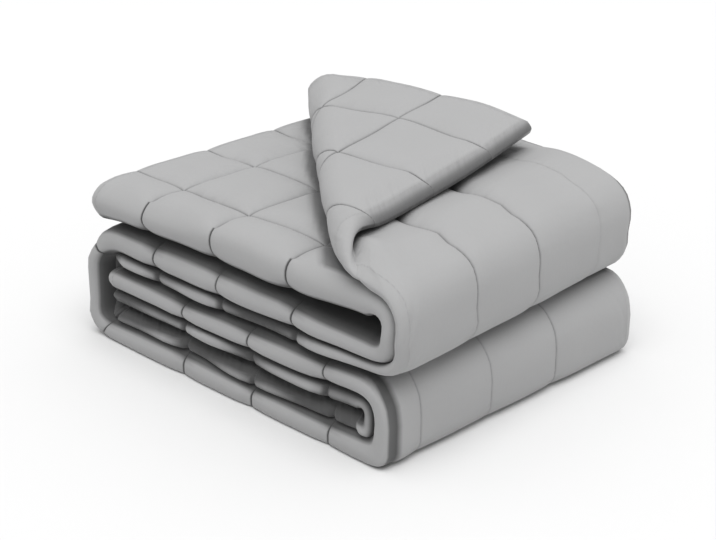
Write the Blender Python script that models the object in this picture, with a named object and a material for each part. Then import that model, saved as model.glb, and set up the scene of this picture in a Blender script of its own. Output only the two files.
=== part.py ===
"""A quilted weighted blanket, folded for the shelf.

The blanket is one rectangular quilt. It is folded in three across its width (a back fold and a
front fold), wound in four runs one above the other, and the loose corner of its top layer is
turned back. The sheet is made flat, as a slab with two sides, and its points are then carried
through the folds in the order in which the real blanket is folded.

Metres, +Z up. The front folds face -Y, the two side wraps face +X, and the pile stands on Z = 0.
"""

import bmesh
import bpy
from math import cos, pi, sin, sqrt

# The quilt
LAYER = 0.0164  # height that one layer takes in the pile
GAP = 0.0012  # air left between two layers
LOFT = LAYER - GAP  # thickness of the quilt where layers press on it
SWELL = 0.0025  # how far a sewn square stands proud where nothing presses on it
SEAM_DEPTH = 0.0051  # how far a seam lies below the top of a square there
FIRST_SEAM = 0.1218  # from the front hem to the first seam along the blanket
SEAM_PITCH = 0.1073  # from one of these seams to the next
BACK_EASE = 0.019  # cloth that the soft back fold takes up beyond its pressed length
SEAMS = [FIRST_SEAM + SEAM_PITCH * step for step in range(3)]
SEAMS += [FIRST_SEAM + SEAM_PITCH * step - BACK_EASE for step in range(3, 10)]
EDGE_POINTS = (0, LOFT * 0.12, LOFT * 0.5)  # points over the quilt's own edge, which is round
EDGE_LEFT = 0.2  # share of the thickness left at the very edge

# The pile
DEPTH = 0.407  # front fold to back fold
BACK_TUCK = 0.004  # how far the loose back hem stays inside the back fold
NOSE = 0.034  # length over which a front fold rounds down to its nose
NOSE_HEIGHT = 0.70  # height of the fold at its nose, as a share of its full height
FOOT_SQUARE = 5.0  # how square the lower half of the bottom fold is, 2 being round
WRAP_SKEW = 0.030  # how much further the upper wrap reaches at the front than at the back
WRAP_LEAD = 0.008  # how much of that lies beyond its own reach
CROWN = 0.006  # how much higher the loose top run stands between its ends
LEAN = 0.004  # how far its layers lie to the left there

# The four runs of the folded strip, from the top of the pile to its heart. foot: underside of the
# run, in layers. start, end: where it is straight, along X. hem: +1 with the loose front hem on
# its upper side. loose: how much thicker it lies than a pressed run. bare: 1 where nothing lies on
# it. nose: height in the section, in layers from its middle, to which the front fold narrows.
# flat: 1 where it is pressed square to the floor. tuck: how far the loose front hem lies behind
# the front fold. seams: where the seams across the blanket lie.
RUN_COLUMNS = ("foot", "start", "end", "hem", "loose", "bare", "nose", "flat", "tuck", "seams")
RUN_ROWS = (
    (9, -0.2350, 0.1885, 1, 1.34, 1, -0.5, 0, 0.001, (-0.1433, -0.0296, 0.0852)),
    (6, 0.1885, -0.1780, -1, 1, 0, -0.5, 0, 0.003, (0.0910, -0.0209, -0.1282)),
    (0, -0.1780, 0.1840, 1, 1, 0, -1.46, 1, 0.005, (-0.0830, 0.0295, 0.1479)),
    (3, 0.1840, -0.2150, -1, 1, 0, -0.5, 0, 0.004, (0.1409, 0.0249, -0.0830)),
)
RUNS = [dict(zip(RUN_COLUMNS, row)) for row in RUN_ROWS]

# The turns that join them: upper wrap, left wrap, lower wrap. side: +1 at the right end. outer: +1
# with the hem layer outside. centre: height of its middle, in layers. reach: its outer radius, in
# layers. press: share of its thickness that the strip keeps half way round. crown, toe: how square
# the upper and the lower shoulder is, 2 being round. bare, nose, flat, tuck: as for a run.
TURN_COLUMNS = ("side", "outer", "centre", "reach", "press", "crown", "toe", "bare", "nose", "flat", "tuck")
TURN_ROWS = (
    (1, 1, 9, 3, 0.66, 2.6, 2.9, 1, 0.3, 0, 0.001),
    (-1, -1, 4.5, 4.5, 0.62, 2.5, 5.5, 1, -1.46, 1, 0.022),
    (1, -1, 3, 3, 0.62, 2.4, 5.0, 1, -1.46, 1, 0.016),
)
TURNS = [dict(zip(TURN_COLUMNS, row)) for row in TURN_ROWS]
TURN_STEPS = 8
PRESS_FALL = 1.5  # how late in a turn the strip thins, 1 being evenly

# The corner of the top layer that is turned back over a slanted roll
HINGE = (0.187, -0.2036)  # where the roll's axis meets the front hem
HINGE_WAY = (-0.742, 0.6704)  # along the axis, towards the back of the left end
HINGE_LENGTH = 0.55
ROLL_NEAR = 0.0127  # radius of the roll at the front hem, to the middle of the quilt
ROLL_FAR = 0.0241  # and at its far end
ROLL_CUTS = 6
BARE_BLEND = 0.02  # distance from its fold line over which the layers below it are set free

TINY = 1e-6  # two distances closer than this are the same

# Points to a sewn square in each zone, and round a tight fold
HEM_FINE = 4
MIDDLE_FINE = 3
UNDER_FINE = 2
FOLD_STEPS = 6

GREY = (0.345, 0.345, 0.350, 1)

FRONT = -DEPTH / 2
BACK = DEPTH / 2
OUTER = (LAYER + LOFT) / 2  # outer radius of a tight fold of two layers
FOLD = pi * LAYER / 2  # length of quilt that such a fold takes

# Distances across the quilt, from the loose front hem, at which each zone of the section ends
HEM_ZONE = BACK - OUTER - FRONT
BACK_FOLD = HEM_ZONE + FOLD
MIDDLE_ZONE = BACK_FOLD + DEPTH - 2 * OUTER
FRONT_FOLD = MIDDLE_ZONE + FOLD
WIDTH = FRONT_FOLD + DEPTH - OUTER - BACK_TUCK


def ease(value):
    """0 below 0, 1 above 1, and a smooth step between."""
    value = min(max(value, 0), 1)
    return value * value * (3 - 2 * value)


def run_length(run):
    return abs(run["end"] - run["start"])


def turn_length(turn):
    return pi * (turn["reach"] - 1.5) * LAYER


def lay_out_strip():
    """Gives every run and turn the distance along the quilt at which it starts and ends."""
    reached = 0
    for number, run in enumerate(RUNS):
        run["from"] = reached
        reached += run_length(run)
        run["to"] = reached
        if number < len(TURNS):
            TURNS[number]["from"] = reached
            reached += turn_length(TURNS[number])
            TURNS[number]["to"] = reached
    return reached


LENGTH = lay_out_strip()


def part_at(along):
    """The run or the turn that holds this distance along the quilt, with its place in the list."""
    for number, run in enumerate(RUNS):
        if along <= run["to"] + TINY:
            return "run", number
        if number < len(TURNS) and along < TURNS[number]["to"] - TINY:
            return "turn", number
    return "run", len(RUNS) - 1


def run_x(run, along):
    way = 1 if run["end"] > run["start"] else -1
    return run["start"] + way * (along - run["from"])


def blend(along, key):
    """A run's or a turn's own value, passing smoothly from one to the next inside the turns."""
    kind, number = part_at(along)
    if kind == "run":
        return RUNS[number][key]
    turn = TURNS[number]
    share = (along - turn["from"]) / (turn["to"] - turn["from"])
    ends = RUNS[number][key] + (RUNS[number + 1][key] - RUNS[number][key]) * ease(share)
    return ends + (turn.get(key, ends) - ends) * sin(pi * share) ** 2


def place(along, height, across):
    """The point of the pile for a distance along the quilt and a point (across, height) of the section."""
    kind, number = part_at(along)
    loose = blend(along, "loose")
    if kind == "run":
        run = RUNS[number]
        middle = (run["foot"] + 1.5 * loose) * LAYER
        return run_x(run, along), across, middle + run["hem"] * height * loose - GAP / 2
    turn = TURNS[number]
    angle = pi * (along - turn["from"]) / (turn["to"] - turn["from"])
    down = 1 if RUNS[number]["foot"] > RUNS[number + 1]["foot"] else -1
    rise = down * cos(angle)
    square = turn["crown"] if rise > 0 else turn["toe"]
    press = loose - (loose - turn["press"]) * sin(angle) ** PRESS_FALL
    depth = (1.5 * LAYER - turn["outer"] * height) * press
    radius = turn["reach"] * LAYER * loose - depth
    x = RUNS[number]["end"] + turn["side"] * radius * sin(angle) ** (2 / square)
    z = turn["centre"] * LAYER + radius * abs(rise) ** (2 / square) * (1 if rise > 0 else -1)
    return x, across, z - GAP / 2


def zone_of(width):
    """The zone of the section, and how far into it this distance across the quilt lies."""
    for name, start, end in (
        ("hem", 0, HEM_ZONE),
        ("back fold", HEM_ZONE, BACK_FOLD),
        ("middle", BACK_FOLD, MIDDLE_ZONE),
        ("front fold", MIDDLE_ZONE, FRONT_FOLD),
    ):
        if width <= end + TINY:
            return name, width - start
    return "under", width - FRONT_FOLD


def nose_scale(across):
    """How far the front fold has narrowed at this place, 1 being its full height."""
    inside = min(max((across - FRONT) / NOSE, 0), 1)
    return NOSE_HEIGHT + (1 - NOSE_HEIGHT) * sqrt(1 - (1 - inside) ** 2)


def section(along, width, half, side):
    """(across, height) of a point of the folded section. half: thickness on this side of its middle."""
    zone, inside = zone_of(width)
    nose = blend(along, "nose") * LAYER
    if zone == "hem":
        across = FRONT + inside + blend(along, "tuck") * (1 - inside / HEM_ZONE)
        droop = (1 - nose_scale(across)) * (LAYER / 2 - nose)
        return across, LAYER - droop + side * half
    if zone == "back fold":
        angle = inside / LAYER * 2
        radius = LAYER / 2 + side * half
        return BACK - OUTER + radius * sin(angle), LAYER / 2 + radius * cos(angle)
    if zone == "middle":
        across = BACK - OUTER - inside
        height = -side * half
    elif zone == "front fold":
        angle = inside / LAYER * 2
        radius = LAYER / 2 - side * half
        square = 2 + (FOOT_SQUARE - 2) * blend(along, "flat") if angle > pi / 2 else 2
        across = FRONT + OUTER - radius * max(sin(angle), 0) ** (2 / square)
        height = -LAYER / 2 + radius * abs(cos(angle)) ** (2 / square) * (1 if angle < pi / 2 else -1)
    else:
        across = FRONT + OUTER + inside
        height = -LAYER + side * half
    return across, nose + nose_scale(across) * (height - nose)


def to_nearest(value, marks):
    return min(abs(value - mark) for mark in marks)


def hinge_place(x, y):
    """How far a point of the flat top layer lies beyond the hinge, and how far down along it."""
    x -= HINGE[0]
    y -= HINGE[1]
    return -(x * HINGE_WAY[1] - y * HINGE_WAY[0]), x * HINGE_WAY[0] + y * HINGE_WAY[1]


def puff(along, width):
    """0 in a seam, 1 in the middle of a sewn square."""
    over = min(to_nearest(width, SEAMS + [0, WIDTH]) / (SEAM_PITCH / 2), 1)
    rise = 1 - (1 - over) ** 3
    kind, number = part_at(along)
    if kind == "run":
        run = RUNS[number]
        near = to_nearest(run_x(run, along), run["seams"])
        rise *= 1 - (1 - min(near / (SEAM_PITCH / 2), 1)) ** 3
    return rise


def shown(along, width, side):
    """How freely the quilt swells here: 1 where nothing presses on this side of it, 0 inside the pile."""
    kind, number = part_at(along)
    zone, inside = zone_of(width)
    if zone == "back fold":
        return side
    if zone == "front fold":
        return -side * (1 - blend(along, "flat") * ease(2 * inside / FOLD - 1))
    if kind == "turn":
        outside = ("hem", 1) if TURNS[number]["outer"] > 0 else ("under", -1)
        return blend(along, "bare") if (zone, side) == outside else 0
    if number != 0:
        return 0
    x = run_x(RUNS[0], along)
    if zone == "hem":
        beyond, _ = hinge_place(x, FRONT + inside)
        return ease(1 + beyond / BARE_BLEND) if side < 0 else 1 - ease(beyond / BARE_BLEND)
    if zone == "middle" and side < 0:
        beyond, _ = hinge_place(x, BACK - OUTER - inside)
        return ease(beyond / BARE_BLEND)
    return 0


def rim(distance):
    """Share of the thickness at this distance from the quilt's own edge."""
    inside = min(distance / EDGE_POINTS[-1], 1)
    return sqrt(max(1 - (1 - inside) ** 2, EDGE_LEFT**2))


def half_thickness(along, width, side):
    round_edge = rim(min(width, WIDTH - width)) * rim(min(along, LENGTH - along))
    swell = shown(along, width, side)
    proud = max(swell, 0) * (SWELL - SEAM_DEPTH * (1 - puff(along, width)))
    return round_edge * (LOFT / 2 + proud)


def drawn(x, y, z):
    """Draws the upper wrap forward at the front and back at the back, as it lies skewed on the lower one."""
    if z < RUNS[1]["foot"] * LAYER - GAP:
        return x, y, z
    shift = WRAP_LEAD - WRAP_SKEW * (y - FRONT) / DEPTH
    return x + shift * ease(x / RUNS[0]["end"]), y, z


def crowned(x, y, z):
    """Raises the loose top run between its ends, and leans it to the left."""
    run = RUNS[0]
    share = min(max((x - run["start"]) / (run["end"] - run["start"]), 0), 1)
    rise = sin(pi * share) * ease((z - run["foot"] * LAYER) / (3 * LAYER))
    return x - LEAN * rise, y, z + CROWN * rise


def turned_back(beyond, down, height_over):
    """The point of the turned corner. height_over: from the middle of the quilt, upwards when flat."""
    radius = ROLL_NEAR + (ROLL_FAR - ROLL_NEAR) * min(max(down / HINGE_LENGTH, 0), 1)
    base = (RUNS[0]["foot"] + 2.5 * RUNS[0]["loose"]) * LAYER - GAP / 2
    if beyond <= pi * radius:
        angle = beyond / radius
        out = -(radius - height_over) * sin(angle)
        rise = base + radius - (radius - height_over) * cos(angle)
    else:
        out = beyond - pi * radius
        rise = base + 2 * radius - height_over
    root_x, root_y, _ = drawn(HINGE[0] + HINGE_WAY[0] * down, HINGE[1] + HINGE_WAY[1] * down, rise)
    return root_x + HINGE_WAY[1] * out, root_y - HINGE_WAY[0] * out, rise


def folded(along, width, side):
    """Carries a point of the flat quilt through the folds."""
    half = half_thickness(along, width, side)
    kind, number = part_at(along)
    zone, inside = zone_of(width)
    if kind == "run" and number == 0 and zone == "hem":
        beyond, down = hinge_place(run_x(RUNS[0], along), FRONT + inside)
        if beyond > 0:
            return crowned(*turned_back(beyond, down, side * half))
    across, height = section(along, width, half, side)
    return crowned(*drawn(*place(along, height, across)))


def spaced(start, end, pieces):
    """Evenly spaced marks after the start, up to the end."""
    return [start + (end - start) * step / pieces for step in range(1, pieces + 1)]


def over_squares(start, seams, end, fineness):
    """Marks after the start, up to the end: every seam between them, and so many to a sewn square."""
    marks = []
    stops = [start] + [seam for seam in seams if start < seam < end] + [end]
    for low, high in zip(stops, stops[1:]):
        marks += spaced(low, high, max(round((high - low) / SEAM_PITCH * fineness), 1))
    return marks


def columns():
    """Distances across the quilt at which it has points."""
    start = EDGE_POINTS[-1]
    end = WIDTH - start
    marks = list(EDGE_POINTS)
    marks += over_squares(start, SEAMS, HEM_ZONE, HEM_FINE)
    marks += spaced(HEM_ZONE, BACK_FOLD, FOLD_STEPS)
    marks += over_squares(BACK_FOLD, SEAMS, MIDDLE_ZONE, MIDDLE_FINE)
    marks += spaced(MIDDLE_ZONE, FRONT_FOLD, FOLD_STEPS)
    marks += over_squares(FRONT_FOLD, SEAMS, end, UNDER_FINE)
    return marks + [WIDTH - point for point in reversed(EDGE_POINTS[:-1])]


def rows():
    """Distances along the quilt at which it has points."""
    start = EDGE_POINTS[-1]
    marks = list(EDGE_POINTS)
    for number, run in enumerate(RUNS):
        way = 1 if run["end"] > run["start"] else -1
        seams = [run["from"] + way * (seam - run["start"]) for seam in run["seams"]]
        last = number == len(TURNS)
        end = LENGTH - EDGE_POINTS[-1] if last else run["to"]
        marks += over_squares(start, seams, end, HEM_FINE if number == 0 else UNDER_FINE)
        if not last:
            start = TURNS[number]["to"]
            marks += spaced(run["to"], start, TURN_STEPS)
    return marks + [LENGTH - point for point in reversed(EDGE_POINTS[:-1])]


def flat_quilt():
    """The quilt as a flat slab: X along it, Y across it, and Z the side of it, +1 or -1."""
    across = columns()
    along = rows()
    quilt = bmesh.new()
    bmesh.ops.create_grid(quilt, x_segments=len(along) - 1, y_segments=len(across) - 1, size=1)
    for vert in quilt.verts:
        row = round((vert.co.x + 1) / 2 * (len(along) - 1))
        column = round((vert.co.y + 1) / 2 * (len(across) - 1))
        vert.co = (along[row], across[column], 1)
    bmesh.ops.solidify(quilt, geom=quilt.faces[:], thickness=2)
    return quilt


def cut_for_roll(quilt):
    """Cuts the flat top layer in lines along the roll, so that the corner can bend there."""
    start_x = HINGE[0] - RUNS[0]["start"]
    start_y = HINGE[1] - FRONT
    end_x = start_x + HINGE_WAY[0] * HINGE_LENGTH
    end_y = start_y + HINGE_WAY[1] * HINGE_LENGTH
    for step in range(ROLL_CUTS + 1):
        near = pi * ROLL_NEAR * step / ROLL_CUTS
        far = pi * ROLL_FAR * step / ROLL_CUTS
        near_x = start_x - HINGE_WAY[1] * near
        near_y = start_y + HINGE_WAY[0] * near
        far_x = end_x - HINGE_WAY[1] * far
        far_y = end_y + HINGE_WAY[0] * far
        top_layer = [
            face
            for face in quilt.faces
            if all(v.co.y < HEM_ZONE + TINY and v.co.x < RUNS[0]["to"] + TINY for v in face.verts)
        ]
        edges = {edge for face in top_layer for edge in face.edges}
        verts = {vert for face in top_layer for vert in face.verts}
        bmesh.ops.bisect_plane(
            quilt,
            geom=list(verts) + list(edges) + top_layer,
            dist=0.0001,
            plane_co=(near_x, near_y, 0),
            plane_no=(far_y - near_y, near_x - far_x, 0),
        )


def pressed(vert):
    """Whether this point of the slab lies on a plain flat face inside the pile."""
    along, width, side = vert.co
    kind, number = part_at(along)
    zone, inside = zone_of(width)
    if kind == "turn" or min(along, LENGTH - along, WIDTH - width) < EDGE_POINTS[-1] - TINY:
        return False
    if number == 0 and (zone == "hem" or zone == "middle" and side < 0):
        return False
    if zone == "hem":
        return inside > NOSE
    if zone == "middle":
        return DEPTH - OUTER - inside > NOSE
    return zone == "under" and OUTER + inside > NOSE


def clear_pressed_faces(quilt):
    """Takes out the lengthwise edges of the flat faces inside the pile, which need no points there."""
    plain = [
        edge
        for edge in quilt.edges
        if abs(edge.verts[0].co.y - edge.verts[1].co.y) < TINY
        and edge.verts[0].co.z == edge.verts[1].co.z
        and all(pressed(vert) for face in edge.link_faces for vert in face.verts)
    ]
    bmesh.ops.dissolve_edges(quilt, edges=plain, use_verts=True)


def make_blanket(collection):
    quilt = flat_quilt()
    clear_pressed_faces(quilt)
    cut_for_roll(quilt)
    for vert in quilt.verts:
        vert.co = folded(vert.co.x, vert.co.y, 1 if vert.co.z > 0 else -1)
    bmesh.ops.triangulate(quilt, faces=quilt.faces[:], quad_method="SHORT_EDGE", ngon_method="BEAUTY")
    bmesh.ops.recalc_face_normals(quilt, faces=quilt.faces[:])
    mesh = bpy.data.meshes.new("blanket")
    quilt.to_mesh(mesh)
    quilt.free()
    mesh.shade_smooth()
    cloth = bpy.data.materials.new("quilted_cloth")
    cloth.use_nodes = True
    shader = cloth.node_tree.nodes["Principled BSDF"]
    shader.inputs["Base Color"].default_value = GREY
    shader.inputs["Roughness"].default_value = 0.85
    shader.inputs["Metallic"].default_value = 0
    mesh.materials.append(cloth)
    blanket = bpy.data.objects.new("blanket", mesh)
    collection.objects.link(blanket)
    return blanket


for leftover in list(bpy.data.objects):
    bpy.data.objects.remove(leftover)
weighted_blanket = bpy.data.collections.new("weighted_blanket")
bpy.context.scene.collection.children.link(weighted_blanket)
make_blanket(weighted_blanket)
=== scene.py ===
from math import cos, exp, pi, sin, sqrt

import bmesh
import bpy
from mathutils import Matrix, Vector, noise


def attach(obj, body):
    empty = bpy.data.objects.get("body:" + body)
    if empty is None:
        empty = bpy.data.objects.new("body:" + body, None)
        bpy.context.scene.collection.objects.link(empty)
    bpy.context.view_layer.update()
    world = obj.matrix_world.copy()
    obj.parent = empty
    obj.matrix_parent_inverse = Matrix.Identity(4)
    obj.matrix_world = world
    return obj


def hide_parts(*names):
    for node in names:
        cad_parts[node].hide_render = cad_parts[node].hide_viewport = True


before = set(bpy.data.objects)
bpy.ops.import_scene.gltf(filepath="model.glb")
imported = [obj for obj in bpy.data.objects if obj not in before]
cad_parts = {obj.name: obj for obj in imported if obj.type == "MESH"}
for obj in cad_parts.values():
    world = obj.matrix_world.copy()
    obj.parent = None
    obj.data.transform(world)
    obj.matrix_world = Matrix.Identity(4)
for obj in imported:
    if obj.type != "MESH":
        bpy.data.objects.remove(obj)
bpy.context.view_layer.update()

bpy.ops.object.select_all(action="DESELECT")


# The blanket. One quilt, 1.22 m by 1.86 m, of smooth grey cotton over padding and glass beads, sewn
# through in squares and turned in along a narrow hem. It is a flat slab whose points are carried
# through its folds: in three across its width, then wound in four runs, with the top corner turned back.

# The cloth and its layers
LAYER = 0.0164  # height that one layer takes in the pile
GAP = 0.0012  # air left between two layers
LOFT = LAYER - GAP
CORNER = 0.009  # radius of the quilt's sewn corners

# Seams and squares
FIRST_SEAM = 0.1218  # from the front hem to the first lengthwise seam
SEAM_PITCH = 0.1073  # from one of these seams to the next
BACK_EASE = 0.019  # cloth that the soft back fold takes up beyond its pressed length
SEAMS = [FIRST_SEAM + SEAM_PITCH * step for step in range(3)]
SEAMS += [FIRST_SEAM + SEAM_PITCH * step - BACK_EASE for step in range(3, 10)]
HEM_SEAM = 0.0115  # from the quilt's edge to the seam that closes its hem
HEM_BITE = 0.0004  # how far that seam pulls in
SEAM_DEPTH = 0.0058  # how far a seam lies below the top of a square where nothing presses on it
SEAM_BITE = 0.0020  # how much further the thread itself pulls in
BITE_WIDTH = 0.0015
SEAM_UNEVEN = 0.5  # how much the seams' pull varies from place to place
SEAM_WANDER = 11  # and how quickly, per metre
BACK_SLACK = 0.15  # share of that pull left on the upper wrap towards the back
SLACK_START = 0.05  # where along Y it begins to fall
SLACK_LENGTH = 0.06
WRAP_SLACK = 0.4  # share of the pull left on the lower wrap
WRAP_FALL = 0.75  # share of it lost down the upper wrap
SWELL = 0.0022  # how far a sewn square stands proud where nothing presses on it
SQUARE_CURVE = 0.036  # distance from a seam over which a square rounds up to its full height
SOFT = 0.0018  # how unevenly the filling lies within a square
SOFT_WANDER = (26, 17)  # how quickly that varies along and across the quilt, per metre
FOLD_SWELL = 0.45  # share of the swelling left on the tight folds
EDGE_SWELL = 0.30  # and along the quilt's edges and its back fold
EDGE_REACH = 0.055
ROLL_SWELL = 0.35  # and over the roll of the turned corner

# The pile
DEPTH = 0.407  # from its front to its back
BACK_TUCK = 0.004  # how far the inner edge stops short of the back
NOSE = 0.034  # how far in from the front the front folds narrow
NOSE_HEIGHT = 0.78  # share of its height that a run keeps at the front
FOOT_SQUARE = 5.0  # how square the lower half of the bottom fold is, 2 being round
WRAP_LEAD = 0.008  # how far the upper wrap stands out to the right at the front
WRAP_SKEW = 0.030  # and how much less it does so at the back
CROWN = 0.006  # how much higher the loose top run stands between its ends
LEAN = 0.004  # how far its layers lie to the left there
END_SAG = 0.005  # how far its left end sags below
END_SAG_REACH = 0.055
INNER_TUCK = 0.007  # how far the left turn pushes back the upper layer of the quilt's inner end
INNER_SINK = 0.0025  # and how far it presses that end down
INNER_REACH = 0.06
GAPE = 0.008  # how far the upper wrap's inner fold stands open at the front
GAPE_START = 0.05  # where that opening begins, along X
GAPE_LENGTH = 0.13
GAPE_REACH = 0.11  # how far in from the front it ends
GAPE_FADE = 0.09
SAG = 0.0060  # how far the layers below the crevice have sunk at the front
SAG_REACH = 0.11  # how far in from the front that ends
SAG_FADE = 0.08
SAG_END = 0.17  # and where it ends along X
SAG_END_FADE = 0.09
HEM_WAVE = 0.008  # how unevenly the hem layers' edges lie back between the front folds
HEM_WANDER = 13  # how quickly that varies, per metre
HEM_PINCH = 0.0060  # how far a seam across the blanket draws in the loose front hem
PINCH_WIDTH = 0.014
STILL_FOOT = 0.004  # height over the floor below which the pile is even
STILL_FADE = 0.03
SHIFT = 0.0034  # how far forward or back of its place a layer may lie
SHIFT_WANDER = (9, 44)  # how quickly this varies along X and up the pile, per metre
SWAY = 0.0014  # how far to the right or left
SWAY_WANDER = (9, 22)  # along Y and up
HEAVE = 0.0028  # how much higher or lower
HEAVE_WANDER = (13, 5, 16)  # along X, along Y and up

# Each run: the layers below it, its two ends along X, whether its hem layer lies on top (1) or below
# (-1), how loose its layers lie, how far its outer face is bare, the height in layers towards which its
# front folds close, how square the lower of them is, how far back its hem lies, and the places along X
# of the seams across it.
RUN_COLUMNS = ("foot", "start", "end", "hem", "loose", "bare", "nose", "flat", "tuck", "seams")
RUN_ROWS = (
    (9, -0.2350, 0.1885, 1, 1.34, 1, -0.5, 0, 0.001, (-0.1433, -0.0296, 0.0852)),
    (6, 0.1885, -0.1780, -1, 1, 0, -0.5, 0, 0.003, (0.0910, -0.0209, -0.1282)),
    (0, -0.1780, 0.1840, 1, 1, 0, -1.46, 1, 0.005, (-0.0830, 0.0295, 0.1479)),
    (3, 0.1840, -0.2150, -1, 1, 0, -0.5, 0, 0.004, (0.1409, 0.0249, -0.0830)),
)
RUNS = [dict(zip(RUN_COLUMNS, row)) for row in RUN_ROWS]

# Each turn: right (1) or left (-1), whether its hem layer is the outer one (1) or the inner (-1), its
# middle height and its outer radius in layers, how thin its layers are pressed halfway round, how
# square its upper and lower halves are, then the same as for a run, and its seams as shares of it.
TURN_COLUMNS = (
    "side", "outer", "centre", "reach", "press", "crown", "toe", "bare", "nose", "flat", "tuck", "seams",
)
TURN_ROWS = (
    (1, 1, 9, 3, 0.93, 2.45, 2.9, 1, 0.3, 0, 0.001, ()),
    (-1, -1, 4.5, 4.5, 0.70, 2.5, 5.5, 1, -1.46, 1, 0.021, (0.30, 0.86)),
    (1, -1, 3, 3, 0.90, 2.4, 5.0, 1, -1.46, 1, 0.008, ()),
)
TURNS = [dict(zip(TURN_COLUMNS, row)) for row in TURN_ROWS]
PRESS_FALL = 1.5  # how late in a turn its layers are pressed thin

# The turned corner. It is rolled back over a line, the hinge, that starts near the front right.
HINGE = (0.187, -0.2036)
HINGE_WAY = (-0.742, 0.6704)
HINGE_LENGTH = 0.55
HEM_END = (RUNS[0]["start"] - HINGE[0]) * HINGE_WAY[0]  # how far down the hinge the free hem ends
ROLL_NEAR = 0.0127  # radius of the roll where the hinge starts
ROLL_FAR = 0.0241  # and where it ends
ROLL_CUTS = 12
ROLL_PINCH = 0.0067  # how much tighter the roll is where it meets the front hem
PINCH_LENGTH = 0.060
FOLD_PRESS = 0.35  # share of its thickness that the cloth loses there
FOLD_PRESS_REACH = 0.030
BARE_BLEND = 0.02  # distance beyond the hinge over which the cloth there becomes bare
HEM_HANG = 0.011  # how far the free hem of the turned corner curls down in its middle
HANG_REACH = 0.035
END_LIFT = 0.007  # how far its other edge stands up
LIFT_REACH = 0.16  # how far in from that edge
LIFT_AT_HEM = 0.45  # share of that height left at the free hem
LIFT_HEM_REACH = 0.08
LIFT_START = 0.06  # distance from the roll over which it rises
KNUCKLE = 0.011  # how far the layer under it is drawn up near the end of the roll
KNUCKLE_PLACE = (-0.010, 0.030)  # from the roll, and from the front hem along it
KNUCKLE_REACH = 0.022
SHOULDER = 0.004  # how far the layer under the free hem swells up in front of it
SHOULDER_REACH = 0.045
SHOULDER_FADE = 0.012  # distance from the hinge over which shoulder and knuckle rise

# Painted shade: in the crevices of the pile, on and beside the turned corner, and in the seams' grooves
# over the front folds
NOSE_SHADE = 2  # how much darker the shade painted in the seams' grooves is over the front folds
BARE_ENOUGH = 0.1  # a face that is freer to swell than this lies in the light and gets no painted shade, unless the turned corner lies over it
OPEN_DEPTH = 0.002  # from the front, how far in between two layers the cloth is left without painted shade
DARK_DEPTH = 0.005  # and how much further the painted shade takes to reach its full darkness
HEM_DARK = 0.85  # how dark the shade painted on the rim of the turned corner's free hem gets
HEM_SHADE = 0.013  # how far up that rim
HEM_DARK_START = 0.03  # distance from the roll over which it grows dark
MOUTH = 0.01  # distance from the roll over which the shade painted on the corner's underside grows
END_OPEN = 0.05  # the same from its end edge
FRONT_OPEN = 0.02  # width of the light strip at its front, and then of the fade
ROLL_DARK = 0.8  # how dark the shadow painted on the cloth beside the roll gets
ROLL_FADE = 0.010  # how wide that painted shadow is
ROLL_SPREAD = 2  # how much wider it is at the near end of the roll
SPREAD_LENGTH = 0.08
BACK_LIGHT = 0.04  # how far from the back fold it is whole
UNDER_FADE = 0.014  # how far in under the free hem the painted shade grows
UNDER_START = 0.35  # and how much of it there is right below its edge

# The fold in three: where it stands, and how far across the quilt each part of it ends
FRONT = -DEPTH / 2
BACK = DEPTH / 2
OUTER = (LAYER + LOFT) / 2
FOLD = pi * LAYER / 2
HEM_ZONE = BACK - OUTER - FRONT
BACK_FOLD = HEM_ZONE + FOLD
MIDDLE_ZONE = BACK_FOLD + DEPTH - 2 * OUTER
FRONT_FOLD = MIDDLE_ZONE + FOLD
WIDTH = FRONT_FOLD + DEPTH - OUTER - BACK_TUCK

# The mesh
TINY = 1e-6
EDGE_POINTS = [LOFT * share for share in (0, 0.03, 0.1, 0.22, 0.5)]
EDGE_LEFT = 0.12  # share of its thickness that the cloth keeps at its very edge
SEAM_POINTS = (0.0012, 0.0032, 0.0070)  # points on each side of a seam
FINE = 0.0072  # distance between points where the cloth shows
COARSE = 0.0140
FOLD_STEPS = 10
TURN_STEPS = 18
UV_SPAN = 2.6  # length of cloth that the UV map's unit square holds
UNDER_HALF = 0.5  # height in that square from which the cloth's under face lies


def ease(value):
    """0 up to 0, 1 from 1 on, and a smooth rise between."""
    value = min(max(value, 0), 1)
    return value * value * (3 - 2 * value)


def lay_out_strip():
    """Gives every run and turn the distance along the quilt at which it starts and ends."""
    reached = 0
    for number, run in enumerate(RUNS):
        run["from"] = reached
        reached += abs(run["end"] - run["start"])
        run["to"] = reached
        if number < len(TURNS):
            TURNS[number]["from"] = reached
            reached += pi * (TURNS[number]["reach"] - 1.5) * LAYER
            TURNS[number]["to"] = reached
    return reached


LENGTH = lay_out_strip()


def part_at(along):
    """The run or the turn in which this distance along the quilt lies."""
    for number, run in enumerate(RUNS):
        if along <= run["to"] + TINY:
            return "run", number
        if number < len(TURNS) and along < TURNS[number]["to"] - TINY:
            return "turn", number
    return "run", len(RUNS) - 1


def run_x(run, along):
    """Where along X a run has this distance along the quilt."""
    way = 1 if run["end"] > run["start"] else -1
    return run["start"] + way * (along - run["from"])


def cross_seams():
    """Distances along the quilt of all the seams that run across it."""
    found = []
    for run in RUNS:
        way = 1 if run["end"] > run["start"] else -1
        found += [run["from"] + way * (seam - run["start"]) for seam in run["seams"]]
    for turn in TURNS:
        found += [turn["from"] + share * (turn["to"] - turn["from"]) for share in turn["seams"]]
    return sorted(found)


CROSS_SEAMS = cross_seams()


def blend(along, key):
    """A run's or a turn's own value, passing smoothly from one to the next inside the turns."""
    kind, number = part_at(along)
    if kind == "run":
        return RUNS[number][key]
    turn = TURNS[number]
    share = (along - turn["from"]) / (turn["to"] - turn["from"])
    ends = RUNS[number][key] + (RUNS[number + 1][key] - RUNS[number][key]) * ease(share)
    return ends + (turn.get(key, ends) - ends) * sin(pi * share) ** 2


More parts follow.
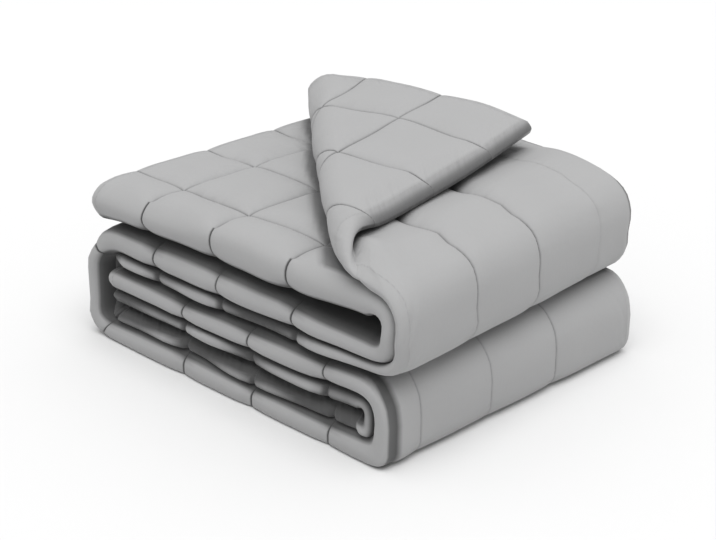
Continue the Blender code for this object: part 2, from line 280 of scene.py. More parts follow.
def gape(x, across):
    """How far the upper wrap's inner fold stands open here, towards the front right."""
    return GAPE * ease((x - GAPE_START) / GAPE_LENGTH) * ease((FRONT + GAPE_REACH - across) / GAPE_FADE)


def place(along, height, across):
    """Carries a point (across, height) of the folded section to its place in the wound strip.

    The section is three layers high, and its height is counted from the middle one.
    """
    kind, number = part_at(along)
    loose = blend(along, "loose")
    if kind == "run":
        run = RUNS[number]
        x = run_x(run, along)
        middle = (run["foot"] + 1.5 * loose) * LAYER
        if run is RUNS[-1]:
            near_end = (1 - ease((run["to"] - along) / INNER_REACH)) * ease((across - FRONT) / NOSE)
            x += INNER_TUCK * near_end * ease(-height / LAYER)
            middle -= INNER_SINK * near_end
        open_by = gape(x, across) * (0.5 - height / (3 * LAYER)) if number < 2 else 0
        return x, across, middle + run["hem"] * (height * loose + open_by) - GAP / 2
    turn = TURNS[number]
    angle = pi * (along - turn["from"]) / (turn["to"] - turn["from"])
    down = 1 if RUNS[number]["foot"] > RUNS[number + 1]["foot"] else -1
    rise = down * cos(angle)
    square = turn["crown"] if rise > 0 else turn["toe"]
    press = loose - (loose - turn["press"]) * max(sin(angle), 0) ** PRESS_FALL
    if number == 0:
        press *= 1 - gape(RUNS[0]["end"], across) / (3 * LAYER * loose)
    from_outside = (1.5 * LAYER - turn["outer"] * height) * press
    radius = turn["reach"] * LAYER * loose - from_outside
    x = RUNS[number]["end"] + turn["side"] * radius * max(sin(angle), 0) ** (2 / square)
    z = turn["centre"] * LAYER + radius * abs(rise) ** (2 / square) * (1 if rise > 0 else -1)
    return x, across, z - GAP / 2


def zone_of(width):
    """The part of the fold in three where this distance across lies, and how far inside it."""
    for name, start, end in (
        ("hem", 0, HEM_ZONE),
        ("back fold", HEM_ZONE, BACK_FOLD),
        ("middle", BACK_FOLD, MIDDLE_ZONE),
        ("front fold", MIDDLE_ZONE, FRONT_FOLD),
    ):
        if width <= end + TINY:
            return name, width - start
    return "under", width - FRONT_FOLD


def nose_scale(across):
    """Share of its height that a run has here, at the front or further in."""
    inside = min(max((across - FRONT) / NOSE, 0), 1)
    return NOSE_HEIGHT + (1 - NOSE_HEIGHT) * ease(inside)


def number_of(along):
    """0 in the top run, 1 in the first turn and the second run, and so on."""
    kind, number = part_at(along)
    return number + (kind == "turn")


def section(along, width, half, side):
    """(across, height) of a point of the section, folded in three."""
    zone, inside = zone_of(width)
    nose = blend(along, "nose") * LAYER
    if zone == "hem":
        pinch = HEM_PINCH * (1 - puff(along, CROSS_SEAMS, PINCH_WIDTH))
        tuck = (blend(along, "tuck") + pinch) * (1 - inside / HEM_ZONE)
        layer = number_of(along)
        wave = HEM_WAVE * noise.noise((along * HEM_WANDER, 4.4, layer * 3.7)) if layer else 0
        across = FRONT + inside + tuck + wave * (1 - inside / HEM_ZONE)
        droop = (1 - nose_scale(across)) * (LAYER / 2 - nose)
        return across, LAYER - droop + side * half
    if zone == "back fold":
        angle = inside / LAYER * 2
        radius = LAYER / 2 + side * half
        return BACK - OUTER + radius * sin(angle), LAYER / 2 + radius * cos(angle)
    if zone == "middle":
        across = BACK - OUTER - inside
        height = -side * half
    elif zone == "front fold":
        angle = inside / LAYER * 2
        radius = LAYER / 2 - side * half
        square = 2 + (FOOT_SQUARE - 2) * blend(along, "flat") if angle > pi / 2 else 2
        across = FRONT + OUTER - radius * max(sin(angle), 0) ** (2 / square)
        height = -LAYER / 2 + radius * abs(cos(angle)) ** (2 / square) * (1 if angle < pi / 2 else -1)
    else:
        across = FRONT + OUTER + inside
        height = -LAYER + side * half
    return across, nose + nose_scale(across) * (height - nose)


def to_nearest(value, marks):
    return min(abs(value - mark) for mark in marks)


def puff(value, marks, reach=SQUARE_CURVE):
    """0 in a seam, and 1 from this far away."""
    over = min(to_nearest(value, marks) / reach, 1)
    return 1 - (1 - over) ** 3


def hinge_place(x, y):
    """How far a point of the flat top layer lies beyond the hinge, and how far down along it."""
    x -= HINGE[0]
    y -= HINGE[1]
    return -(x * HINGE_WAY[1] - y * HINGE_WAY[0]), x * HINGE_WAY[0] + y * HINGE_WAY[1]


def calmed(edge):
    """Share of the swelling left this far from an edge or from the back fold."""
    return EDGE_SWELL + (1 - EDGE_SWELL) * ease(edge / EDGE_REACH)


def shown(along, width, side):
    """How freely the quilt swells here: 1 where nothing presses on this side of it, 0 in the pile."""
    kind, number = part_at(along)
    zone, inside = zone_of(width)
    if zone == "back fold":
        return side * EDGE_SWELL
    if zone == "front fold":
        return -side * FOLD_SWELL * (1 - blend(along, "flat") * ease(2 * inside / FOLD - 1))
    if kind == "turn":
        outside = ("hem", 1) if TURNS[number]["outer"] > 0 else ("under", -1)
        return blend(along, "bare") if (zone, side) == outside else 0
    if number != 0:
        return 0
    x = run_x(RUNS[0], along)
    if zone == "hem":
        beyond, down = hinge_place(x, FRONT + inside)
        on_roll = 1 - (1 - ROLL_SWELL) * sin(pi * min(max(beyond / (pi * roll_radius(down)), 0), 1))
        bare = ease(beyond / BARE_BLEND) if side < 0 else 1 - ease(beyond / BARE_BLEND)
        return bare * on_roll * calmed(min(along, inside, HEM_ZONE - inside))
    if zone == "middle" and side < 0:
        beyond, _ = hinge_place(x, BACK - OUTER - inside)
        return ease(beyond / BARE_BLEND) * calmed(min(along, inside))
    return 0


def tightness(along, width, side):
    """How hard the seams are drawn in here: they slacken down the wraps and towards the back."""
    kind, number = part_at(along)
    uneven = 1 + SEAM_UNEVEN * noise.noise((along * SEAM_WANDER, width * SEAM_WANDER, 2.3))
    zone, _ = zone_of(width)
    if zone == "front fold" or side < 0 and number == 0:
        return uneven
    across = FRONT + width
    slack = 1 - (1 - BACK_SLACK) * ease((across - SLACK_START) / SLACK_LENGTH)
    if kind == "run":
        return uneven * (slack if number == 0 else 1)
    turn = TURNS[number]
    share = (along - turn["from"]) / (turn["to"] - turn["from"])
    if number == 0:
        return uneven * slack * (1 - WRAP_FALL * ease(share))
    return uneven * (WRAP_SLACK if number == 2 else 1)


def painted_shade_on_corner(along, inside, side, beyond, down):
    """The painted shade, as below, on the turned corner's own cloth: under it, and up the rim of its free
    hem.
    """
    out = beyond - pi * roll_radius(down)
    if side < 0:
        return HEM_DARK * (1 - ease(inside / HEM_SHADE)) * ease(out / HEM_DARK_START)
    return ease(along / END_OPEN) * max(ease(out / MOUTH), ease((inside - FRONT_OPEN) / FRONT_OPEN))


def painted_shadow_beside_roll(beyond, down, inside, half):
    """The same on the cloth that the turned corner lays bare: a shadow of the roll, painted next to it."""
    fade = ROLL_FADE * (1 + ROLL_SPREAD * (1 - ease(down / SPREAD_LENGTH)))
    return ROLL_DARK * (1 - ease((beyond - roll_radius(down) - half) / fade)) * ease(inside / BACK_LIGHT)


def painted_shade(along, width, side):
    """How much shade is painted here, by how deep in a crevice of the pile this lies: 0 where the light
    reaches it, 1 well inside.
    """
    kind, number = part_at(along)
    zone, inside = zone_of(width)
    half = half_thickness(along, width, side)
    in_top_run = kind == "run" and number == 0
    if in_top_run and zone == "hem":
        beyond, down = hinge_place(run_x(RUNS[0], along), FRONT + inside)
        if side < 0 or beyond > 0:
            return painted_shade_on_corner(along, inside, side, beyond, down)
    if in_top_run and zone == "middle" and side < 0:
        beyond, down = hinge_place(run_x(RUNS[0], along), BACK - OUTER - inside)
        return painted_shadow_beside_roll(beyond, down, inside, half)
    on_top = number == 0 and zone == "front fold" and inside < FOLD / 2
    top_face = in_top_run and zone == "hem" and side > 0
    exposed = zone in ("hem", "middle", "under") and shown(along, width, side) > BARE_ENOUGH
    if on_top or exposed and not top_face:
        return 0
    across, _ = section(along, width, half, side)
    if top_face and hinge_place(run_x(RUNS[0], along), across)[0] < 0:
        above = cloth_above(run_x(RUNS[0], along), across)
        from_front = ease((across - FRONT - FRONT_OPEN) / FRONT_OPEN)
        return ease(UNDER_START + min(above) / UNDER_FADE) * from_front
    return ease((min(across - FRONT, BACK - across, along) - OPEN_DEPTH) / DARK_DEPTH)


def half_thickness(along, width, side):
    """From the middle of the quilt to this face of it."""
    edge = min(width, WIDTH - width, along, LENGTH - along)
    inside_width = min(min(width, WIDTH - width) / EDGE_POINTS[-1], 1)
    inside_along = min(min(along, LENGTH - along) / EDGE_POINTS[-1], 1)
    round_edge = 1
    for inside in (inside_width, inside_along):
        round_edge *= sqrt(max(1 - (1 - inside) ** 2, EDGE_LEFT**2))
    swell = max(shown(along, width, side), 0)
    square = puff(width, SEAMS + [0, WIDTH]) * puff(along, CROSS_SEAMS)
    thread = exp(-to_nearest(width, SEAMS) / BITE_WIDTH)
    thread += exp(-to_nearest(along, CROSS_SEAMS) / BITE_WIDTH)
    hem = exp(-abs(edge - HEM_SEAM) / BITE_WIDTH)
    drawn_in = tightness(along, width, side) * (SEAM_DEPTH * (1 - square) + SEAM_BITE * min(thread, 1))
    if part_at(along) == ("run", 0) and width < HEM_ZONE:
        beyond, down = hinge_place(run_x(RUNS[0], along), FRONT + width)
        round_edge *= 1 - FOLD_PRESS * exp(-(beyond**2 + down**2) / FOLD_PRESS_REACH**2)
    soft = SOFT * noise.noise((along * SOFT_WANDER[0], width * SOFT_WANDER[1], side * 5.1)) * square
    return round_edge * (LOFT / 2 + swell * (SWELL + soft - drawn_in) - HEM_BITE * hem)


def drawn(x, y, z):
    """Draws the upper wrap out to the right at the front and in at the back, as it lies skewed."""
    if z < RUNS[1]["foot"] * LAYER - GAP:
        return x, y, z
    shift = WRAP_LEAD - WRAP_SKEW * (y - FRONT) / DEPTH
    return x + shift * ease(x / RUNS[0]["end"]), y, z


def crowned(x, y, z):
    """Raises the loose top run between its ends, leans it to the left, and lets its left end sag."""
    run = RUNS[0]
    over = z - run["foot"] * LAYER + GAP
    if over > 0:
        z -= END_SAG * (1 - ease((x - run["start"]) / END_SAG_REACH)) * (1 - ease(over / (2 * LAYER)))
    share = min(max((x - run["start"]) / (run["end"] - run["start"]), 0), 1)
    rise = sin(pi * share) * ease((z - run["foot"] * LAYER) / (3 * LAYER))
    return x - LEAN * rise, y, z + CROWN * rise


def roll_radius(down):
    """Radius of the turned corner's roll, this far down the hinge."""
    share = min(max(down / HINGE_LENGTH, 0), 1)
    pinch = ROLL_PINCH * (1 - ease(down / PINCH_LENGTH))
    return ROLL_NEAR + (ROLL_FAR - ROLL_NEAR) * share - pinch


def cloth_above(x, y):
    """Distances along and across the quilt of the turned corner's cloth over a point of the top layer."""
    beyond, down = hinge_place(x, y)
    over = pi * roll_radius(down) - beyond
    along = HINGE[0] + HINGE_WAY[0] * down - HINGE_WAY[1] * over - RUNS[0]["start"]
    return along, HINGE[1] + HINGE_WAY[1] * down + HINGE_WAY[0] * over - FRONT


def swelling_beside_corner(x, y):
    """Height that the top layer gains in front of the turned corner's free hem and beside its roll."""
    in_front = -cloth_above(x, y)[1] / SHOULDER_REACH
    shoulder = SHOULDER * ease(in_front) * (1 - ease((in_front - 1) / 2))
    shoulder *= ease((y - FRONT) / SHOULDER_REACH)
    beyond, down = hinge_place(x, y)
    from_knuckle = (beyond - KNUCKLE_PLACE[0]) ** 2 + (down - KNUCKLE_PLACE[1]) ** 2
    knuckle = KNUCKLE * exp(-from_knuckle / KNUCKLE_REACH**2)
    return (shoulder + knuckle) * ease(-beyond / SHOULDER_FADE)


def turned_back(beyond, down, height_over, from_hem, from_end):
    """The point of the turned corner. height_over: from the middle of the quilt, upwards when flat."""
    radius = roll_radius(down)
    base = (RUNS[0]["foot"] + 2.5 * RUNS[0]["loose"]) * LAYER - GAP / 2
    if beyond <= pi * radius:
        angle = beyond / radius
        out = -(radius - height_over) * sin(angle)
        rise = base + radius - (radius - height_over) * cos(angle)
    else:
        out = beyond - pi * radius
        curl = HEM_HANG * sin(pi * min(max(down / HEM_END, 0), 1))
        hang = curl * (1 - ease(from_hem / HANG_REACH)) * ease(out / HANG_REACH)
        at_hem = LIFT_AT_HEM + (1 - LIFT_AT_HEM) * ease(from_hem / LIFT_HEM_REACH)
        lift = END_LIFT * (1 - ease(from_end / LIFT_REACH)) * at_hem * ease(out / LIFT_START)
        rise = base + 2 * radius - height_over - hang + lift
    root_x, root_y, _ = drawn(HINGE[0] + HINGE_WAY[0] * down, HINGE[1] + HINGE_WAY[1] * down, rise)
    return root_x + HINGE_WAY[1] * out, root_y - HINGE_WAY[0] * out, rise


def settled(x, y, z):
    """The unevenness of soft layers: none lies quite in line with the next, and the pile sags."""
    above = ease((z - STILL_FOOT) / STILL_FADE)
    y += SHIFT * noise.noise((x * SHIFT_WANDER[0], 3.1, z * SHIFT_WANDER[1])) * above
    x += SWAY * noise.noise((5.3, y * SWAY_WANDER[0], z * SWAY_WANDER[1])) * above
    wander = (x * HEAVE_WANDER[0], y * HEAVE_WANDER[1], z * HEAVE_WANDER[2])
    z += HEAVE * noise.noise(wander) * above
    crevice = RUNS[0]["foot"] * LAYER
    top_of_sunk = crevice - 2 * LAYER
    share = z / top_of_sunk if z < top_of_sunk else max(crevice - z, 0) / (crevice - top_of_sunk)
    front = ease((FRONT + SAG_REACH - y) / SAG_FADE) * ease((SAG_END - x) / SAG_END_FADE)
    return x, y, z - SAG * share * front


def rounded(along, width):
    """Draws in the quilt's four square corners to round ones."""
    from_end = CORNER - min(along, LENGTH - along)
    from_hem = CORNER - min(width, WIDTH - width)
    if min(from_end, from_hem) <= 0:
        return along, width
    inward = 1 - max(from_end, from_hem) / sqrt(from_end**2 + from_hem**2)
    along += from_end * inward * (1 if along < LENGTH / 2 else -1)
    width += from_hem * inward * (1 if width < WIDTH / 2 else -1)
    return along, width


def folded(along, width, side):
    """Carries a point of the flat quilt through the folds."""
    half = half_thickness(along, width, side)
    along, width = rounded(along, width)
    kind, number = part_at(along)
    zone, inside = zone_of(width)
    if kind == "run" and number == 0 and zone == "hem":
        beyond, down = hinge_place(run_x(RUNS[0], along), FRONT + inside)
        if beyond > 0:
            return settled(*crowned(*turned_back(beyond, down, side * half, inside, along)))
    across, height = section(along, width, half, side)
    if kind == "run" and number == 0 and zone == "hem":
        height += swelling_beside_corner(run_x(RUNS[0], along), across)
    return settled(*crowned(*drawn(*place(along, height, across))))


def spread(start, end, seams, step):
    """Marks after the start, up to the end: close together at each seam, and evenly between."""
    inner = [seam for seam in seams if start + SEAM_POINTS[-1] < seam < end - SEAM_POINTS[-1]]
    marks = []
    stops = [start]
    for seam in inner:
        stops += [seam - point for point in reversed(SEAM_POINTS)] + [seam]
        stops += [seam + point for point in SEAM_POINTS]
    stops.append(end)
    for low, high in zip(stops, stops[1:]):
        pieces = max(round((high - low) / step), 1)
        marks += [low + (high - low) * piece / pieces for piece in range(1, pieces + 1)]
    return marks


def columns():
    """Distances across the quilt at which it has points."""
    start = EDGE_POINTS[-1]
    marks = list(EDGE_POINTS)
    marks += spread(start, HEM_ZONE, [HEM_SEAM] + SEAMS, FINE)
    marks += spread(HEM_ZONE, BACK_FOLD, [], FOLD / FOLD_STEPS)
    marks += spread(BACK_FOLD, MIDDLE_ZONE, SEAMS, FINE)
    marks += spread(MIDDLE_ZONE, FRONT_FOLD, [], FOLD / FOLD_STEPS)
    marks += spread(FRONT_FOLD, WIDTH - start, SEAMS + [WIDTH - HEM_SEAM], FINE)
    return marks + [WIDTH - point for point in reversed(EDGE_POINTS[:-1])]


def rows():
    """Distances along the quilt at which it has points."""
    start = EDGE_POINTS[-1]
    marks = list(EDGE_POINTS)
    for number, run in enumerate(RUNS):
        last = number == len(TURNS)
        end = LENGTH - EDGE_POINTS[-1] if last else run["to"]
        seams = [HEM_SEAM] + CROSS_SEAMS if number == 0 else CROSS_SEAMS
        marks += spread(start, end, seams, COARSE if number else FINE)
        if not last:
            start = TURNS[number]["to"]
            marks += spread(run["to"], start, CROSS_SEAMS, (start - run["to"]) / TURN_STEPS)
    return marks + [LENGTH - point for point in reversed(EDGE_POINTS[:-1])]


def flat_quilt():
    """The quilt as a flat slab: X along it, Y across it, and Z the side of it, +1 or -1."""
    across = columns()
    along = rows()
    quilt = bmesh.new()
    bmesh.ops.create_grid(quilt, x_segments=len(along) - 1, y_segments=len(across) - 1, size=1)
    for vert in quilt.verts:
        row = round((vert.co.x + 1) / 2 * (len(along) - 1))
        column = round((vert.co.y + 1) / 2 * (len(across) - 1))
        vert.co = (along[row], across[column], 1)
    bmesh.ops.solidify(quilt, geom=quilt.faces[:], thickness=2)
    return quilt


def cut_for_roll(quilt):
    """Cuts the flat top layer in lines along the roll, so that the corner can bend there."""
    start_x = HINGE[0] - RUNS[0]["start"]
    start_y = HINGE[1] - FRONT
    end_x = start_x + HINGE_WAY[0] * HINGE_LENGTH
    end_y = start_y + HINGE_WAY[1] * HINGE_LENGTH
    for step in range(ROLL_CUTS + 1):
        near = pi * ROLL_NEAR * step / ROLL_CUTS
        far = pi * ROLL_FAR * step / ROLL_CUTS
        near_x = start_x - HINGE_WAY[1] * near
        near_y = start_y + HINGE_WAY[0] * near
        far_x = end_x - HINGE_WAY[1] * far
        far_y = end_y + HINGE_WAY[0] * far
        top_layer = [
            face
            for face in quilt.faces
            if all(v.co.y < HEM_ZONE + TINY and v.co.x < RUNS[0]["to"] + TINY for v in face.verts)
        ]
        edges = {edge for face in top_layer for edge in face.edges}
        verts = {vert for face in top_layer for vert in face.verts}
        bmesh.ops.bisect_plane(
            quilt,
            geom=list(verts) + list(edges) + top_layer,
            dist=0.0001,
            plane_co=(near_x, near_y, 0),
            plane_no=(far_y - near_y, near_x - far_x, 0),
        )


def hidden(vert):
    """Whether this point of the slab lies inside the pile, where nothing of it shows."""
    along, width, side = vert.co
    kind, number = part_at(along)
    zone, inside = zone_of(width)
    if min(along, LENGTH - along, WIDTH - width) < HEM_SEAM + SEAM_POINTS[-1] + TINY:
        return False
    if kind == "turn":
        outside = ("hem", 1) if TURNS[number]["outer"] > 0 else ("under", -1)
        if (zone, side) == outside:
            return False
    elif number == 0 and (zone == "hem" or zone == "middle" and side < 0):
        return False
    if zone == "hem":
        return inside > NOSE
    if zone == "middle":
        return DEPTH - OUTER - inside > NOSE
    return zone == "under" and OUTER + inside > NOSE


def clear_hidden_faces(quilt):
    """Takes out the lengthwise edges of the faces inside the pile, which are straight across."""
    plain = [
        edge
        for edge in quilt.edges
        if abs(edge.verts[0].co.y - edge.verts[1].co.y) < TINY
        and edge.verts[0].co.z == edge.verts[1].co.z
        and all(hidden(vert) for face in edge.link_faces for vert in face.verts)
    ]
    bmesh.ops.dissolve_edges(quilt, edges=plain, use_verts=True)


def make_quilt():
    shell = flat_quilt()
    clear_hidden_faces(shell)
    cut_for_roll(shell)
    many_sided = [face for face in shell.faces if len(face.verts) > 4]
    bmesh.ops.triangulate(shell, faces=many_sided)
    shell.verts.index_update()
    cloth_places = []
    for vert in shell.verts:
        along, width = vert.co.x, vert.co.y
        side = 1 if vert.co.z > 0 else -1
        cloth_places.append((along, width, side))
        vert.co = folded(along, width, side)
    bmesh.ops.recalc_face_normals(shell, faces=shell.faces[:])

    # The cuts leave the faces in another order each run, so they get one that stays the same
    count = len(shell.verts)
    shell.faces.sort(key=lambda face: face.verts[0].index * count + face.verts[1].index)

    mesh = bpy.data.meshes.new("quilt")
    shell.to_mesh(mesh)
    shell.free()
    mesh.shade_smooth()

    quilt_map = mesh.uv_layers.new(name="quilt")
    for polygon in mesh.polygons:
        under = all(cloth_places[mesh.loops[loop].vertex_index][2] < 0 for loop in polygon.loop_indices)
        for loop in polygon.loop_indices:
            along, width, _ = cloth_places[mesh.loops[loop].vertex_index]
            quilt_map.data[loop].uv = (along / UV_SPAN, width / UV_SPAN + (UNDER_HALF if under else 0))

    # Distances to the nearest seam across, the nearest seam along, and the quilt's edge
    seam_map = mesh.attributes.new("seams", "FLOAT_VECTOR", "POINT")
    for number, (along, width, _) in enumerate(cloth_places):
        edge = min(width, WIDTH - width, along, LENGTH - along)
        seam_map.data[number].vector = (to_nearest(along, CROSS_SEAMS), to_nearest(width, SEAMS), edge)

    # How hard the seams are drawn in, which sets the shade painted in their grooves, stronger over the
    # front folds, and how much shade is painted where the cloth lies deep in the pile
    groove_shade_map = mesh.attributes.new("tightness", "FLOAT", "POINT")
    painted_shade_map = mesh.attributes.new("painted_shade", "FLOAT", "POINT")
    for number, cloth_place in enumerate(cloth_places):
        nose_groove_shade = NOSE_SHADE if zone_of(cloth_place[1])[0] == "front fold" else 1
        groove_shade_map.data[number].value = nose_groove_shade * tightness(*cloth_place)
        painted_shade_map.data[number].value = painted_shade(*cloth_place)

    quilt = bpy.data.objects.new("quilt", mesh)
    bpy.context.scene.collection.objects.link(quilt)
    return quilt


# The finish of the cotton
GREY = (0.355, 0.355, 0.357)
DARKER = 0.94  # the darkest and the lightest that the grey gets in uneven yarn
LIGHTER = 1.06
SHADED = 0.16  # share of the grey left where shade is painted at full strength
ROUGH = 0.78
ROUGHER = 0.12  # how much rougher the yarn's high places are
WEAVE = 0.0009  # from one thread of the weave to the next but one
WEAVE_HEIGHT = 0.00004
YARN = 420  # how fine the yarn's unevenness is, per metre
YARN_HEIGHT = 0.00010
BROAD = 9  # the same for the broad unevenness of the colour
BROAD_SHARE = 0.55
THREAD = 0.0012  # width of a stitch
STITCH = 0.0036  # from one stitch to the next
STITCH_GAP = -0.3  # height over which a wave along the seam is a stitch, and under it a gap
STITCH_HEIGHT = 0.0003
STITCH_SHADE = 0.22
GROOVE = 0.0013  # half the width of the shade painted along the groove that a seam pulls in
GROOVE_SHADE = 0.62
HEM_STITCHES = 0.4  # how strongly the hem's own seam shows its stitches
HEM_GROOVE = 0.05  # and the shade painted in its groove
PUCKER_REACH = 0.011  # how far from a seam its ripples fade
PUCKERS_ALONG = 75  # how closely the ripples stand along a seam, per metre
PUCKERS_AWAY = 14  # and how quickly they change away from it
PUCKER_HEIGHT = 0.0060
FALL = 2.718  # base of each fall away from a seam
DEEP_PAINTED_SHADE = 0.92  # how dark the shade painted deep in a crevice gets
RELIEF = 0.7  # strength of the whole fine relief


def grey_cotton():
    """Smooth mid-grey cotton: a fine weave, slightly uneven yarn, stitches sunk in the seams, and shade
    painted into the seams' grooves and the crevices of the pile.
    """
    cotton = bpy.data.materials.new("grey_cotton")
    cotton.use_nodes = True
    nodes = cotton.node_tree.nodes
    links = cotton.node_tree.links
    shader = nodes["Principled BSDF"]
    shader.inputs["Metallic"].default_value = 0
    shader.inputs["Sheen Weight"].default_value = 0.18
    shader.inputs["Sheen Roughness"].default_value = 0.45
    shader.inputs["Specular IOR Level"].default_value = 0.25

    def value(operation, first, second=None):
        node = nodes.new("ShaderNodeMath")
        node.operation = operation
        for socket, source in zip(node.inputs, (first, second)):
            if isinstance(source, (int, float)):
                socket.default_value = source
            elif source is not None:
                links.new(source, socket)
        return node.outputs[0]

    def attribute(name):
        node = nodes.new("ShaderNodeAttribute")
        node.attribute_name = name
        return node

    def uneven(vector, scale, detail):
        node = nodes.new("ShaderNodeTexNoise")
        node.inputs["Scale"].default_value = scale
        node.inputs["Detail"].default_value = detail
        links.new(vector, node.inputs["Vector"])
        return node.outputs["Fac"]

    cloth = nodes.new("ShaderNodeUVMap")
    cloth.uv_map = "quilt"
    metres = nodes.new("ShaderNodeVectorMath")
    metres.operation = "SCALE"
    metres.inputs["Scale"].default_value = UV_SPAN
    links.new(cloth.outputs["UV"], metres.inputs[0])
    flat = metres.outputs["Vector"]
    split = nodes.new("ShaderNodeSeparateXYZ")
    links.new(flat, split.inputs[0])
    along, width = split.outputs["X"], split.outputs["Y"]

    near = nodes.new("ShaderNodeSeparateXYZ")
    links.new(attribute("seams").outputs["Vector"], near.inputs[0])
    cross, lengthwise, edge = near.outputs["X"], near.outputs["Y"], near.outputs["Z"]

    # Weave: warp and weft threads, over and under
    warp = value("SINE", value("MULTIPLY", along, 2 * pi / WEAVE))
    weft = value("SINE", value("MULTIPLY", width, 2 * pi / WEAVE))
    weave = value("MULTIPLY", warp, weft)
    yarn = uneven(flat, YARN, 3.0)

    # Puckers: short ripples that cross each seam and fade away from it
    def puckers(ripple_along, ripple_across, distance):
        stretched = nodes.new("ShaderNodeCombineXYZ")
        links.new(value("MULTIPLY", ripple_along, PUCKERS_ALONG), stretched.inputs[0])
        links.new(value("MULTIPLY", ripple_across, PUCKERS_AWAY), stretched.inputs[1])
        fade = value("POWER", FALL, value("MULTIPLY", distance, -1 / PUCKER_REACH))
        return value("MULTIPLY", uneven(stretched.outputs[0], 1.0, 1.0), fade)

    ripples = value("ADD", puckers(width, along, cross), puckers(along, width, lengthwise))
    hem_line = value("ABSOLUTE", value("SUBTRACT", edge, HEM_SEAM))
    ripples = value("ADD", ripples, puckers(value("ADD", along, width), edge, hem_line))

    # Stitches: short dashes of thread in every seam, darker than the cloth, and shade painted along the
    # groove around them
    def dashes(distance, coordinate):
        on_line = value("LESS_THAN", distance, THREAD / 2)
        wave = value("SINE", value("MULTIPLY", coordinate, 2 * pi / STITCH))
        stitch = value("GREATER_THAN", wave, STITCH_GAP)
        return value("MULTIPLY", on_line, stitch)

    def groove(distance):
        share = value("DIVIDE", distance, GROOVE)
        return value("POWER", FALL, value("MULTIPLY", value("MULTIPLY", share, share), -1))

    stitches = value("MAXIMUM", dashes(cross, width), dashes(lengthwise, along))
    hem_stitches = dashes(hem_line, value("ADD", along, width))
    stitches = value("MAXIMUM", stitches, value("MULTIPLY", hem_stitches, HEM_STITCHES))
    shade = value("MAXIMUM", groove(cross), groove(lengthwise))
    shade = value("MAXIMUM", shade, value("MULTIPLY", groove(hem_line), HEM_GROOVE))
    shade = value("ADD", value("MULTIPLY", shade, GROOVE_SHADE), value("MULTIPLY", stitches, STITCH_SHADE))
    # Painted shade: stronger where a seam is drawn in harder, and at its darkest deep in the crevices of
    # the pile
    shade = value("MULTIPLY", shade, attribute("tightness").outputs["Fac"])
    shade = value("MAXIMUM", shade, value("MULTIPLY", attribute("painted_shade").outputs["Fac"], DEEP_PAINTED_SHADE))

    # Relief: weave, yarn, ripples and stitches together
    height = value("ADD", value("MULTIPLY", weave, WEAVE_HEIGHT), value("MULTIPLY", yarn, YARN_HEIGHT))
    height = value("ADD", height, value("MULTIPLY", ripples, PUCKER_HEIGHT))
    height = value("ADD", height, value("MULTIPLY", stitches, STITCH_HEIGHT))
    bump = nodes.new("ShaderNodeBump")
    bump.inputs["Distance"].default_value = 1.0
    bump.inputs["Strength"].default_value = RELIEF
    links.new(height, bump.inputs["Height"])
    links.new(bump.outputs["Normal"], shader.inputs["Normal"])

    # Colour: an uneven grey, with shade painted into the seams' grooves and the pile's crevices
    tone = nodes.new("ShaderNodeValToRGB")
    tone.color_ramp.elements[0].color = (*[part * DARKER for part in GREY], 1)
    tone.color_ramp.elements[1].color = (*[part * LIGHTER for part in GREY], 1)
    broad = value("MULTIPLY", uneven(flat, BROAD, 3.0), BROAD_SHARE)
    mottled = value("ADD", broad, value("MULTIPLY", yarn, 1 - BROAD_SHARE))
    links.new(mottled, tone.inputs["Fac"])
    darkened = nodes.new("ShaderNodeMix")
    darkened.data_type = "RGBA"
    darkened.inputs["B"].default_value = (*[part * SHADED for part in GREY], 1)
    links.new(shade, darkened.inputs["Factor"])
    links.new(tone.outputs["Color"], darkened.inputs["A"])
    links.new(darkened.outputs["Result"], shader.inputs["Base Color"])
    links.new(value("ADD", value("MULTIPLY", yarn, ROUGHER), ROUGH), shader.inputs["Roughness"])
    return cotton


quilt = make_quilt()
quilt.data.materials.append(grey_cotton())
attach(quilt, "root")
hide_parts("blanket")


# The floor. A wide pale board that the folded blanket lies on.

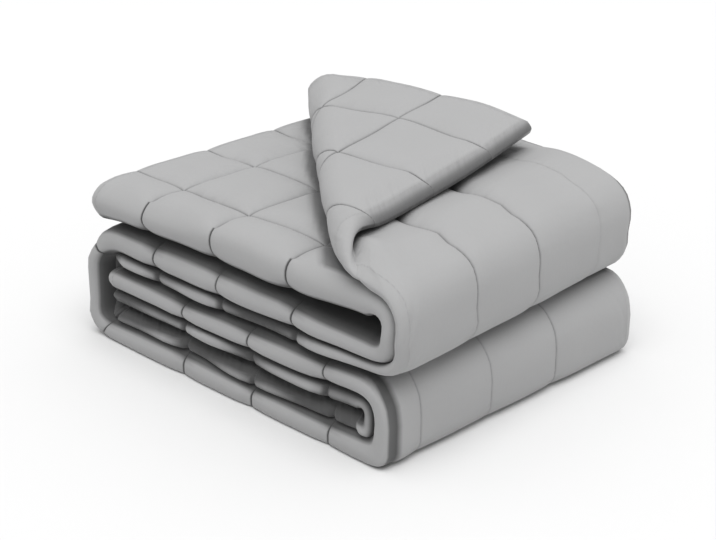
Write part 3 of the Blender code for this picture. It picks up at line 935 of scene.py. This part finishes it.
bpy.ops.mesh.primitive_plane_add(size=12, location=(0, 0, 0))
floor = bpy.context.object
floor.name = "floor"
pale = bpy.data.materials.new("pale_floor")
pale.use_nodes = True
pale.node_tree.nodes["Principled BSDF"].inputs["Base Color"].default_value = (0.74, 0.74, 0.74, 1)
pale.node_tree.nodes["Principled BSDF"].inputs["Roughness"].default_value = 0.9
floor.data.materials.append(pale)


# The light. A white tent, brighter overhead than at its sides, and one broad soft light from the
# right, high up.

TENT_SIDES = 0.36
TENT_TOP = 0.92
LAMP_PLACE = Vector((0.5, -0.35, 1.8))

world = bpy.data.worlds.new("tent")
world.use_nodes = True
tent = world.node_tree.nodes
tent_links = world.node_tree.links
way_up = tent.new("ShaderNodeTexCoord")
height_up = tent.new("ShaderNodeSeparateXYZ")
tent_links.new(way_up.outputs["Generated"], height_up.inputs[0])
brighter_up = tent.new("ShaderNodeMapRange")
brighter_up.inputs["From Min"].default_value = 0
brighter_up.inputs["From Max"].default_value = 1
brighter_up.inputs["To Min"].default_value = TENT_SIDES
brighter_up.inputs["To Max"].default_value = TENT_TOP
tent_links.new(height_up.outputs["Z"], brighter_up.inputs["Value"])
tent_links.new(brighter_up.outputs["Result"], tent["Background"].inputs["Strength"])
tent["Background"].inputs["Color"].default_value = (1, 1, 1, 1)
bpy.context.scene.world = world
bpy.context.scene.view_settings.view_transform = "Standard"

bpy.ops.object.light_add(type="SUN", location=LAMP_PLACE)
lamp = bpy.context.object
lamp.name = "soft_light"
lamp.data.energy = 2.1
lamp.data.angle = 0.9
lamp.rotation_euler = (-LAMP_PLACE).to_track_quat("-Z", "Y").to_euler()


# The camera. It looks down a little on the corner between the front folds and the wraps.

VIEW_FROM = Vector((1.2948, -1.3034, 0.8651))
VIEW_WAY = Vector((-0.6521, 0.6514, -0.3878))
bpy.ops.object.camera_add(location=VIEW_FROM, rotation=VIEW_WAY.to_track_quat("-Z", "Y").to_euler())
camera = bpy.context.object
camera.data.lens = 87.99
camera.data.sensor_width = 36
bpy.context.scene.camera = camera
